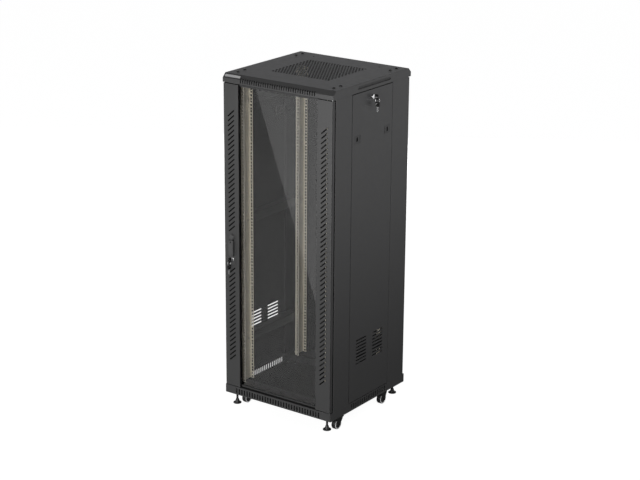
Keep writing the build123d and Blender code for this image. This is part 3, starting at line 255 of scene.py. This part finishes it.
class Graph:
    """Short calls for the nodes that the materials share."""

    def __init__(self, material):
        self.nodes = material.node_tree.nodes
        self.links = material.node_tree.links
        self.place = self.nodes.new("ShaderNodeTexCoord").outputs["Object"]

    def noise(self, scale, detail=3.0, roughness=0.55, stretch=None):
        node = self.nodes.new("ShaderNodeTexNoise")
        node.inputs["Scale"].default_value = scale
        node.inputs["Detail"].default_value = detail
        node.inputs["Roughness"].default_value = roughness
        self.links.new(self.stretched(stretch), node.inputs["Vector"])
        return node.outputs["Fac"]

    def cells(self, scale):
        node = self.nodes.new("ShaderNodeTexVoronoi")
        node.inputs["Scale"].default_value = scale
        self.links.new(self.place, node.inputs["Vector"])
        return node.outputs

    def stretched(self, stretch):
        if stretch is None:
            return self.place
        node = self.nodes.new("ShaderNodeMapping")
        node.inputs["Scale"].default_value = stretch
        self.links.new(self.place, node.inputs["Vector"])
        return node.outputs["Vector"]

    def ramp(self, source, low, high):
        """Maps 0..1 to low..high."""
        node = self.nodes.new("ShaderNodeMapRange")
        node.inputs["To Min"].default_value = low
        node.inputs["To Max"].default_value = high
        self.links.new(source, node.inputs["Value"])
        return node.outputs["Result"]

    def window(self, source, low, high):
        """0 below low, 1 above high."""
        node = self.nodes.new("ShaderNodeMapRange")
        node.interpolation_type = "SMOOTHSTEP"
        node.inputs["From Min"].default_value = low
        node.inputs["From Max"].default_value = high
        self.links.new(source, node.inputs["Value"])
        return node.outputs["Result"]

    def blend(self, factor, first, second):
        """Mixes two colours; each is a colour or a socket."""
        node = self.nodes.new("ShaderNodeMix")
        node.data_type = "RGBA"
        for socket, value in (("A", first), ("B", second)):
            target = [s for s in node.inputs if s.name == socket and s.type == "RGBA"][0]
            if hasattr(value, "is_output"):
                self.links.new(value, target)
            else:
                target.default_value = value
        self.links.new(factor, node.inputs["Factor"])
        return [s for s in node.outputs if s.type == "RGBA"][0]

    def math(self, kind, first, second):
        node = self.nodes.new("ShaderNodeMath")
        node.operation = kind
        for index, value in enumerate((first, second)):
            if hasattr(value, "is_output"):
                self.links.new(value, node.inputs[index])
            else:
                node.inputs[index].default_value = value
        return node.outputs[0]

    def rounded_normal(self, radius):
        node = self.nodes.new("ShaderNodeBevel")
        node.samples = 4
        node.inputs["Radius"].default_value = radius
        return node.outputs["Normal"]

    def edge_mask(self, rounded):
        """1 where the rounded normal leaves the face's own normal, as along a worn edge."""
        true_normal = self.nodes.new("ShaderNodeNewGeometry").outputs["True Normal"]
        dot = self.nodes.new("ShaderNodeVectorMath")
        dot.operation = "DOT_PRODUCT"
        self.links.new(rounded, dot.inputs[0])
        self.links.new(true_normal, dot.inputs[1])
        away = self.math("SUBTRACT", 1.0, dot.outputs["Value"])
        return self.window(away, 0.02, 0.2)

    def bump(self, height, strength, distance, normal=None):
        node = self.nodes.new("ShaderNodeBump")
        node.inputs["Strength"].default_value = strength
        node.inputs["Distance"].default_value = distance
        self.links.new(height, node.inputs["Height"])
        if normal is not None:
            self.links.new(normal, node.inputs["Normal"])
        return node.outputs["Normal"]

    def axis(self, letter):
        node = self.nodes.new("ShaderNodeSeparateXYZ")
        self.links.new(self.place, node.inputs[0])
        return node.outputs[letter]


def grey(value, warm=0.0):
    """A grey, leaning towards sand as warm rises."""
    return (value * (1 + warm * 0.4), value, value * (1 - warm), 1)


def powder_coat(name, tone, worn_tone, roughness, edge_radius):
    """Satin powder coat: fine orange peel, faint blotches, paler worn edges."""
    material, shader = new_material(name)
    graph = Graph(material)
    blotches = graph.noise(5.0, 4.0)
    base = graph.blend(blotches, grey(tone * 0.93), grey(tone * 1.07))
    rounded = graph.rounded_normal(edge_radius)
    worn = graph.math("MULTIPLY", graph.edge_mask(rounded), graph.window(graph.noise(60.0), 0.35, 0.75))
    base = graph.blend(worn, base, grey(worn_tone))
    graph.links.new(base, shader.inputs["Base Color"])
    gloss = graph.ramp(graph.noise(35.0), roughness - 0.05, roughness + 0.06)
    graph.links.new(gloss, shader.inputs["Roughness"])
    peel = graph.bump(graph.noise(650.0, 2.0), 0.25, 0.00015, rounded)
    graph.links.new(peel, shader.inputs["Normal"])
    shader.inputs["Specular IOR Level"].default_value = 0.5
    return material


def skin_coat(name, tone, shaded_inside_tone, side_face, end_face):
    """Powder coat whose faces behind the cabinet's outer skin get a darker colour and less sheen, as
    painted shade.
    """
    material = powder_coat(name, tone, tone * 2, 0.42, 0.0012)
    shader = material.node_tree.nodes["Principled BSDF"]
    graph = Graph(material)
    across = graph.math("ABSOLUTE", graph.axis("X"), 0.0)
    along = graph.math("ABSOLUTE", graph.axis("Y"), 0.0)
    side = graph.window(across, side_face - 0.0007, side_face - 0.0003)
    end = graph.window(along, end_face - 0.0007, end_face - 0.0003)
    roof = graph.window(graph.axis("Z"), ROOF_FACE - 0.0008, ROOF_FACE - 0.0003)
    high = graph.window(graph.axis("Z"), ROOF_SLOPE_START - 0.0005, ROOF_SLOPE_START)
    slope = graph.math("MINIMUM", high, graph.window(along, ROOF_SLOPE_END - 0.002, ROOF_SLOPE_END - 0.001))
    outside = graph.math("MAXIMUM", graph.math("MAXIMUM", side, end), graph.math("MAXIMUM", roof, slope))
    # painted shade: every face off the outer skin takes the dark inside colour and a lower specular level
    coat = shader.inputs["Base Color"].links[0].from_socket
    graph.links.new(graph.blend(outside, grey(shaded_inside_tone), coat), shader.inputs["Base Color"])
    graph.links.new(graph.ramp(outside, 0.15, 0.5), shader.inputs["Specular IOR Level"])
    return material


def galvanised(name, tone, warm):
    """Zinc sheet: a spangle of flat crystals, rolled streaks and small dark marks."""
    material, shader = new_material(name)
    graph = Graph(material)
    crystals = graph.cells(170.0)
    flecks = graph.noise(420.0, 4.0, 0.7)
    spangle = graph.blend(crystals["Color"], grey(tone * 0.8, warm), grey(tone * 1.1, warm))
    streaks = graph.window(graph.noise(30.0, 3.0, 0.6, (6.0, 6.0, 0.4)), 0.3, 0.7)
    base = graph.blend(streaks, spangle, grey(tone * 0.92, warm * 1.3))
    base = graph.blend(graph.window(flecks, 0.58, 0.72), base, grey(tone * 0.55, warm * 1.5))
    graph.links.new(base, shader.inputs["Base Color"])
    graph.links.new(graph.ramp(crystals["Distance"], 0.34, 0.55), shader.inputs["Roughness"])
    relief = graph.bump(flecks, 0.3, 0.0001, graph.rounded_normal(0.0006))
    graph.links.new(relief, shader.inputs["Normal"])
    shader.inputs["Metallic"].default_value = 0.18
    return material


def plated(name, tone, roughness, scratch_scale=300.0, metallic=1.0):
    """Polished or plated metal with hairline scratches."""
    material, shader = new_material(name)
    graph = Graph(material)
    scratches = graph.noise(scratch_scale, 3.0, 0.6, (1.0, 1.0, 9.0))
    base = graph.blend(scratches, grey(tone * 0.9), grey(tone))
    graph.links.new(base, shader.inputs["Base Color"])
    graph.links.new(graph.ramp(scratches, roughness * 0.6, roughness * 1.5), shader.inputs["Roughness"])
    relief = graph.bump(scratches, 0.08, 0.00005, graph.rounded_normal(0.0004))
    graph.links.new(relief, shader.inputs["Normal"])
    shader.inputs["Metallic"].default_value = metallic
    return material


def moulded(name, tone, roughness, grain_scale=1400.0, edge_radius=0.0008):
    """Moulded black plastic with a fine grain and slightly polished edges."""
    material, shader = new_material(name)
    graph = Graph(material)
    rounded = graph.rounded_normal(edge_radius)
    rubbed = graph.edge_mask(rounded)
    dusty = graph.blend(graph.noise(25.0, 4.0), grey(tone * 0.8), grey(tone * 1.25))
    graph.links.new(graph.blend(rubbed, dusty, grey(tone * 1.8)), shader.inputs["Base Color"])
    gloss = graph.ramp(graph.noise(90.0), roughness - 0.06, roughness + 0.08)
    graph.links.new(gloss, shader.inputs["Roughness"])
    grain = graph.bump(graph.noise(grain_scale, 2.0), 0.2, 0.0001, rounded)
    graph.links.new(grain, shader.inputs["Normal"])
    return material


def bolt_material(name):
    """Bolts with blackened heads on the roof and zinc plated heads inside."""
    material = moulded(name, 0.006, 0.3, 900.0)
    shader = material.node_tree.nodes["Principled BSDF"]
    graph = Graph(material)
    on_roof = graph.window(graph.axis("Z"), ROOF_FACE, ROOF_FACE + 0.0003)
    black = shader.inputs["Base Color"].links[0].from_socket
    graph.links.new(graph.blend(on_roof, grey(0.6, 0.15), black), shader.inputs["Base Color"])
    return material


def foot_material(name):
    """Moulded foot whose stud carries a rolled thread above the cone."""
    material = moulded(name, 0.014, 0.42)
    shader = material.node_tree.nodes["Principled BSDF"]
    graph = Graph(material)
    wave = graph.nodes.new("ShaderNodeTexWave")
    wave.bands_direction = "Z"
    wave.inputs["Scale"].default_value = THREADS_PER_METRE / 20
    wave.inputs["Distortion"].default_value = 0.0
    graph.links.new(graph.place, wave.inputs["Vector"])
    above_cone = graph.window(graph.axis("Z"), CONE_TOP, THREAD_START)
    ridges = graph.math("MULTIPLY", wave.outputs["Fac"], above_cone)
    earlier = shader.inputs["Normal"].links[0].from_socket
    graph.links.new(graph.bump(ridges, 1.0, 0.0008, earlier), shader.inputs["Normal"])
    return material


def tinted_glass(name):
    """Grey toughened glass that lets the lamps through to the inside."""
    material, shader = new_material(name)
    graph = Graph(material)
    smears = graph.noise(7.0, 5.0, 0.6)
    graph.links.new(graph.blend(smears, grey(0.80), grey(0.83)), shader.inputs["Base Color"])
    graph.links.new(graph.ramp(graph.noise(18.0, 4.0), 0.0, 0.02), shader.inputs["Roughness"])
    shader.inputs["Transmission Weight"].default_value = 1.0
    shader.inputs["IOR"].default_value = GLASS_IOR
    clear = graph.nodes.new("ShaderNodeBsdfTransparent")
    clear.inputs["Color"].default_value = grey(0.9)
    path = graph.nodes.new("ShaderNodeLightPath")
    mix = graph.nodes.new("ShaderNodeMixShader")
    lamp_or_fill = graph.math("MAXIMUM", path.outputs["Is Shadow Ray"], path.outputs["Is Diffuse Ray"])
    graph.links.new(lamp_or_fill, mix.inputs["Fac"])
    graph.links.new(shader.outputs[0], mix.inputs[1])
    graph.links.new(clear.outputs[0], mix.inputs[2])
    graph.links.new(mix.outputs[0], graph.nodes["Material Output"].inputs["Surface"])
    return material


def wheel_material(name, axle):
    """Black wheel with a pale ring moulded into each face, placed by distance from the axle."""
    material, shader = new_material(name)
    graph = Graph(material)
    across = graph.math("SUBTRACT", graph.axis("Y"), axle.y)
    above = graph.math("SUBTRACT", graph.axis("Z"), axle.z)
    square = graph.math("ADD", graph.math("MULTIPLY", across, across), graph.math("MULTIPLY", above, above))
    radius = graph.math("SQRT", square, 0.0)
    past_inner = graph.window(radius, *RING_INNER)
    past_outer = graph.window(radius, *RING_OUTER)
    ring = graph.math("SUBTRACT", past_inner, past_outer)
    dust = graph.blend(graph.noise(80.0, 4.0), grey(0.018), grey(0.035))
    graph.links.new(graph.blend(ring, dust, grey(0.9)), shader.inputs["Base Color"])
    graph.links.new(graph.ramp(graph.noise(120.0), 0.4, 0.6), shader.inputs["Roughness"])
    graph.links.new(graph.bump(graph.noise(500.0), 0.2, 0.0002), shader.inputs["Normal"])
    return material


def paint(material, *names):
    """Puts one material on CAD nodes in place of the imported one."""
    for name in names:
        slots = NODES[name].data.materials
        slots.clear()
        slots.append(material)


def names_ending(*endings):
    return [name for name in NODES if name.endswith(endings)]


def paint_cabinet():
    # painted shade: the channels and braces inside take a darker tone than the same coat outside
    inner = powder_coat("painted_shade_inner_coat", SHADED_INSIDE_TONE, 0.04, 0.5, 0.0010)
    # each skin coat's third number is the painted shade colour of its faces behind the outer skin
    paint(skin_coat("base_coat", SKIN_TONE, 0.008, 0.300, 0.300), "base_pan")
    paint(skin_coat("cover_coat", SKIN_TONE, 0.006, 0.2963, 0.300), "top_cover")
    paint(skin_coat("panel_coat", SKIN_TONE, SHADED_INSIDE_TONE, 0.300, 0.310), *names_ending("_side_panel"))
    paint(skin_coat("post_coat", SKIN_TONE, 0.005, 0.2988, 0.310), *names_ending("_post"))
    paint(skin_coat("door_coat", SKIN_TONE, 0.005, 0.297, 0.300), "door_hinge_stile", "door_lock_stile")
    paint(skin_coat("rear_coat", SKIN_TONE, SHADED_INSIDE_TONE, 0.2965, 0.294), "rear_door")
    paint(inner, "roof_channels", "base_channels", "side_braces")
    shaded = powder_coat("shaded_coat", 0.035, 0.05, 0.6, 0.0010)
    paint(shaded, "door_cross_channels", "door_hinge_plates")
    paint(galvanised("zinc_rail", 0.87, 0.15), *names_ending("_rail"))
    paint(plated("zinc_plate", 0.6, 0.25), "hinge_pins", "underside_fasteners")
    paint(bolt_material("bolt_finish"), "frame_fasteners")
    paint(plated("nameplate_satin", 0.6, 0.3, 500.0, metallic=0.15), "nameplate")
    paint(plated("chrome", 0.9, 0.09), *names_ending("_barrel", "_lock_plug"))
    paint(moulded("black_plastic", 0.02, 0.36), *names_ending("_brake_pedal"))
    paint(moulded("handle_plastic", 0.075, 0.4), "handle_spindle", "handle_lever")
    paint(moulded("handle_plate_plastic", 0.06, 0.42), "handle_plate")
    paint(moulded("latch_plastic", 0.045, 0.45), *names_ending("_latch"))
    paint(foot_material("foot_black"), *names_ending("_foot"))
    paint(moulded("caster_black", 0.02, 0.3), "caster_plates", *names_ending("_caster_fork"))
    paint(moulded("seal_rubber", 0.012, 0.8, 700.0), "door_glass_tape")
    paint(tinted_glass("tinted_glass"), "door_glass")
    paint(moulded("key_black", 0.012, 0.25), *names_ending("_key"))
    for name in names_ending("_wheel"):
        low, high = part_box(name)
        paint(wheel_material(f"{name}_black", (low + high) / 2), name)


# ---- keys ---------------------------------------------------------------
HANDLE_LOCK_PLACE = (-0.250, -0.304, 0.742)
RIGHT_LOCK_PLACE = (0.300, -0.0014, 1.5205)

# millimetres in the lock's own axes: Y into the lock, Z up
KEY_BOW_HALF = 12.0
KEY_BOW_SHORT_HALF = 11.0
KEY_THICK_HALF = 2.5
BOW_CORNER = 7.0
BOW_SINK = 0.5
BLADE_HALF = 4.0
RING_HOLE_Y = -24.0
RING_HOLE_RADIUS = 3.5
RING_RADIUS = 11.0
RING_WIRE = 0.8
SPARE_BLADE = 24.0


def smooth_outline(centre_y, centre_z, half_y, half_z, corner, steps=7):
    """Rounded rectangle in the YZ plane, as points in order."""
    points = []
    for turn, (side_y, side_z) in enumerate(((1, 1), (-1, 1), (-1, -1), (1, -1))):
        for step in range(steps + 1):
            angle = math.pi / 2 * (turn + step / steps)
            y = centre_y + side_y * (half_y - corner) + corner * math.cos(angle)
            z = centre_z + side_z * (half_z - corner) + corner * math.sin(angle)
            points.append((y, z))
    return points


def shrunk(points, centre, factor):
    return [(centre[0] + (y - centre[0]) * factor, centre[1] + (z - centre[1]) * factor) for y, z in points]


def loop_of(shape, points, x):
    return [shape.verts.new((x, y, z)) for y, z in points]


def bridge(shape, first, second, slot):
    count = len(first)
    for index in range(count):
        after = (index + 1) % count
        face = shape.faces.new((first[index], first[after], second[after], second[index]))
        face.material_index = slot
        face.smooth = True


def add_bow(shape, centre, half_y, half_z, hole):
    """A moulded grip with a soft rim, a sunk panel on both faces and the ring hole through it."""
    outline = smooth_outline(*centre, half_y, half_z, BOW_CORNER)
    thick = KEY_THICK_HALF
    around_hole = []
    for y, z in outline:
        away = math.hypot(y - hole[0], z - hole[1])
        mouth_y = hole[0] + (y - hole[0]) * RING_HOLE_RADIUS / away
        mouth_z = hole[1] + (z - hole[1]) * RING_HOLE_RADIUS / away
        around_hole.append((mouth_y, mouth_z))
    layers = ((0.97, 0.62), (1.0, 0.0), (0.97, -0.62))
    outer = [loop_of(shape, shrunk(outline, centre, factor), thick * level) for factor, level in layers]
    bridge(shape, outer[0], outer[1], 0)
    bridge(shape, outer[1], outer[2], 0)
    mouths = []
    for sign, edge in ((1, outer[0]), (-1, outer[2])):
        rim = loop_of(shape, shrunk(outline, centre, 0.92), sign * thick)
        inner = loop_of(shape, shrunk(outline, centre, 0.78), sign * thick)
        sunk = loop_of(shape, shrunk(outline, centre, 0.74), sign * (thick - BOW_SINK))
        mouth = loop_of(shape, around_hole, sign * (thick - BOW_SINK))
        for first, second in ((edge, rim), (rim, inner), (inner, sunk), (sunk, mouth)):
            bridge(shape, first, second, 0)
        mouths.append(mouth)
    bridge(shape, *mouths, 0)


def add_blade(shape, start, length, across_centre, turned):
    """Steel blade with a pointed tip, cut teeth on one edge and a milled groove on each face."""
    half = BLADE_HALF
    teeth = [(0.0, -half), (0.22, -half), (0.28, -2.6), (0.38, -3.5), (0.46, -2.2), (0.56, -3.3)]
    teeth += [(0.66, -2.5), (0.76, -3.6), (0.9, -2.4), (1.0, -0.8), (1.0, 0.8), (0.9, half), (0.0, half)]
    sides = []
    for x in (1.0, -1.0):
        points = []
        for share, across in teeth:
            if turned:
                points.append((across_centre + across, start - share * length))
            else:
                points.append((start + share * length, across_centre + across))
        sides.append(loop_of(shape, points, x))
    bridge(shape, *sides, 1)
    for side in sides:
        face = shape.faces.new(side)
        face.material_index = 1
        hollow = bmesh.ops.inset_region(shape, faces=[face], thickness=0.7, depth=-0.25)
        for ring_face in hollow["faces"]:
            ring_face.material_index = 1
    for face in shape.faces:
        if face.material_index == 1:
            face.smooth = False


def add_ring(shape, centre_y, centre_z, radius, wire):
    turns, around = 48, 8
    loops = []
    for turn in range(turns):
        angle = math.tau * turn / turns
        out_y, out_z = math.cos(angle), math.sin(angle)
        loop = []
        for step in range(around):
            spin = math.tau * step / around
            reach = radius + wire * math.cos(spin)
            place = (wire * math.sin(spin), centre_y + out_y * reach, centre_z + out_z * reach)
            loop.append(shape.verts.new(place))
        loops.append(loop)
    for turn in range(turns):
        bridge(shape, loops[turn], loops[(turn + 1) % turns], 1)


def key_object(name, shape, lock_place, turn, body, node, materials):
    """Turns a mesh made in the lock's own millimetres into a piece that rides with its body."""
    bmesh.ops.recalc_face_normals(shape, faces=shape.faces)
    mesh = bpy.data.meshes.new(name)
    shape.to_mesh(mesh)
    shape.free()
    in_place = Matrix.Translation(lock_place) @ Matrix.Rotation(math.radians(turn), 4, "Z")
    mesh.transform(in_place @ Matrix.Scale(MM, 4))
    for material in materials:
        mesh.materials.append(material)
    piece = bpy.data.objects.new(name, mesh)
    bpy.context.scene.collection.objects.link(piece)
    bevel = piece.modifiers.new("soft_edges", "BEVEL")
    bevel.width = 0.00015
    bevel.limit_method = "ANGLE"
    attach(piece, body)
    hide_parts(node)


def make_keys():
    bow_black = moulded("key_bow_black", 0.012, 0.22)
    steel = plated("key_steel", 0.9, 0.28, 500.0)
    slots = (bow_black, steel)
    for side, place, turn in (("handle", HANDLE_LOCK_PLACE, 0), ("right", RIGHT_LOCK_PLACE, 90)):
        worn = bmesh.new()
        add_bow(worn, (-19.0, 0.0), KEY_BOW_SHORT_HALF, KEY_BOW_HALF, (RING_HOLE_Y, 0.0))
        add_blade(worn, -8.0, 12.0, 0.0, False)
        key_object(f"{side}_key_detail", worn, place, turn, f"{side}_lock", f"{side}_key", slots)
        low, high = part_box(f"{side}_spare_key")
        bottom = (low.z - place[2]) / MM
        top = (high.z - place[2]) / MM
        spare = bmesh.new()
        hung = bottom + SPARE_BLADE
        bow_centre = (RING_HOLE_Y, hung + KEY_BOW_SHORT_HALF)
        add_bow(spare, bow_centre, KEY_BOW_HALF, KEY_BOW_SHORT_HALF, (RING_HOLE_Y, hung + 16.0))
        add_blade(spare, hung, SPARE_BLADE, RING_HOLE_Y, True)
        add_ring(spare, RING_HOLE_Y, top - RING_RADIUS - RING_WIRE, RING_RADIUS, RING_WIRE)
        body = f"{side}_spare_key"
        key_object(f"{side}_spare_key_detail", spare, place, turn, body, body, slots)


# ---- scene --------------------------------------------------------------
def make_lights():
    area_light("key", (0.9, -4.3, 1.2), (0, -0.2, 0.9), (2.0, 2.0), 98, mirrored=True)
    area_light("left_fill", (-3.2, -3.4, 1.4), (0, -0.2, 0.9), (2.0, 2.0), 30)
    area_light("rear_fill", (-2.6, 4.2, 0.9), (0, 0, 0.8), (2.4, 1.0), 110)
    area_light("side_fill", (3.6, 0.9, 3.4), (0.3, 0, 1.2), (2.0, 2.0), 32)


bpy.context.scene.view_settings.view_transform = "Standard"
make_camera()
make_world()
make_floor()
make_card("wall_card", CARD_ON_GLASS, CARD_RADIANCE)
make_card("bright_card", BRIGHT_ON_DOOR, BRIGHT_RADIANCE)
make_lights()
paint_cabinet()
make_keys()
